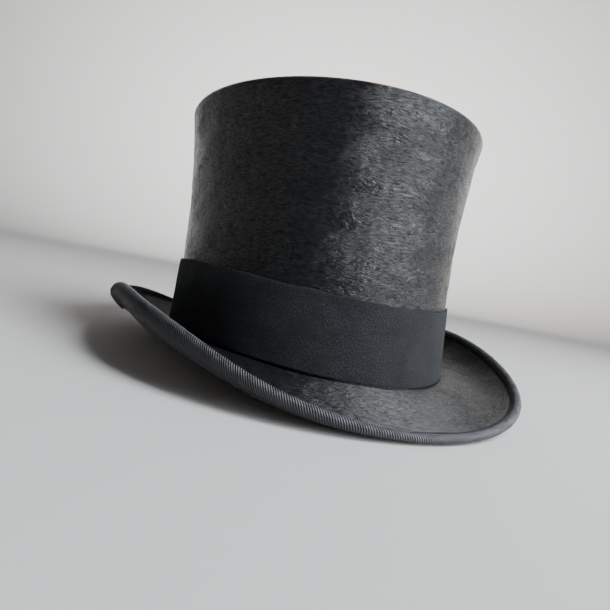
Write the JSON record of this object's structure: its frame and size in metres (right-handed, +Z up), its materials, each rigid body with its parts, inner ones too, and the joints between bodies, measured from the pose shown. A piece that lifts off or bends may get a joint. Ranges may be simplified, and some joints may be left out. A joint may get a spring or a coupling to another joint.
{
  "type": "top hat",
  "caption": "Top hat with a curved oval crown covered in brushed plush, a wide wool band, a rolled ribbon-bound brim and a leather-lined head opening.",
  "frame": {"origin": "centre of the bounding box on the surface the hat stands on, brim down", "axes": "+Z up; -Y towards the wearer's front; +X towards the wearer's left. The hat rests on the brim's front and back dips, so its crown leans back 3.0 degrees towards +Y"},
  "size_m": [0.2452, 0.2932, 0.1599],
  "materials": {
    "silk_plush": "brushed silk plush with a nap that shines along its lie",
    "band_wool": "matt close-woven wool",
    "merino_cover": "matt fine wool",
    "grosgrain_ribbon": "ribbed silk ribbon, low sheen",
    "shellac_gossamer": "muslin stiffened with shellac",
    "calico": "plain cotton",
    "sweatband_leather": "smooth tan roan",
    "reed_cane": "bare split cane",
    "welt_oilcloth": "glazed cotton",
    "lining_satin": "cream satin",
    "bow_ribbon": "black satin ribbon",
    "sewing_thread": "black cotton",
    "light_thread": "buff cotton"
  },
  "bodies": {
    "root": {"crown_side_shell": "shellac_gossamer", "crown_tip_shell": "shellac_gossamer", "tip_joint_strip": "calico", "brim_shell": "shellac_gossamer", "brim_joint_strip": "calico", "side_plush": "silk_plush", "side_seam_thread": "sewing_thread", "tip_plush": "silk_plush", "upper_brim_plush": "silk_plush", "under_brim_cover": "merino_cover", "brim_binding": "grosgrain_ribbon", "binding_thread": "sewing_thread", "hat_band": "band_wool", "band_join_thread": "sewing_thread", "sweatband": "sweatband_leather", "sweatband_reed": "reed_cane", "reed_welt": "welt_oilcloth", "sweatband_thread": "light_thread", "sweatband_back_thread": "light_thread", "bow_knot": "bow_ribbon", "bow_loop_left": "bow_ribbon", "bow_loop_right": "bow_ribbon", "bow_tail_left": "bow_ribbon", "bow_tail_right": "bow_ribbon", "side_lining": "lining_satin", "tip_lining": "lining_satin", "lining_piping": "lining_satin"}
  },
  "joints": []
}
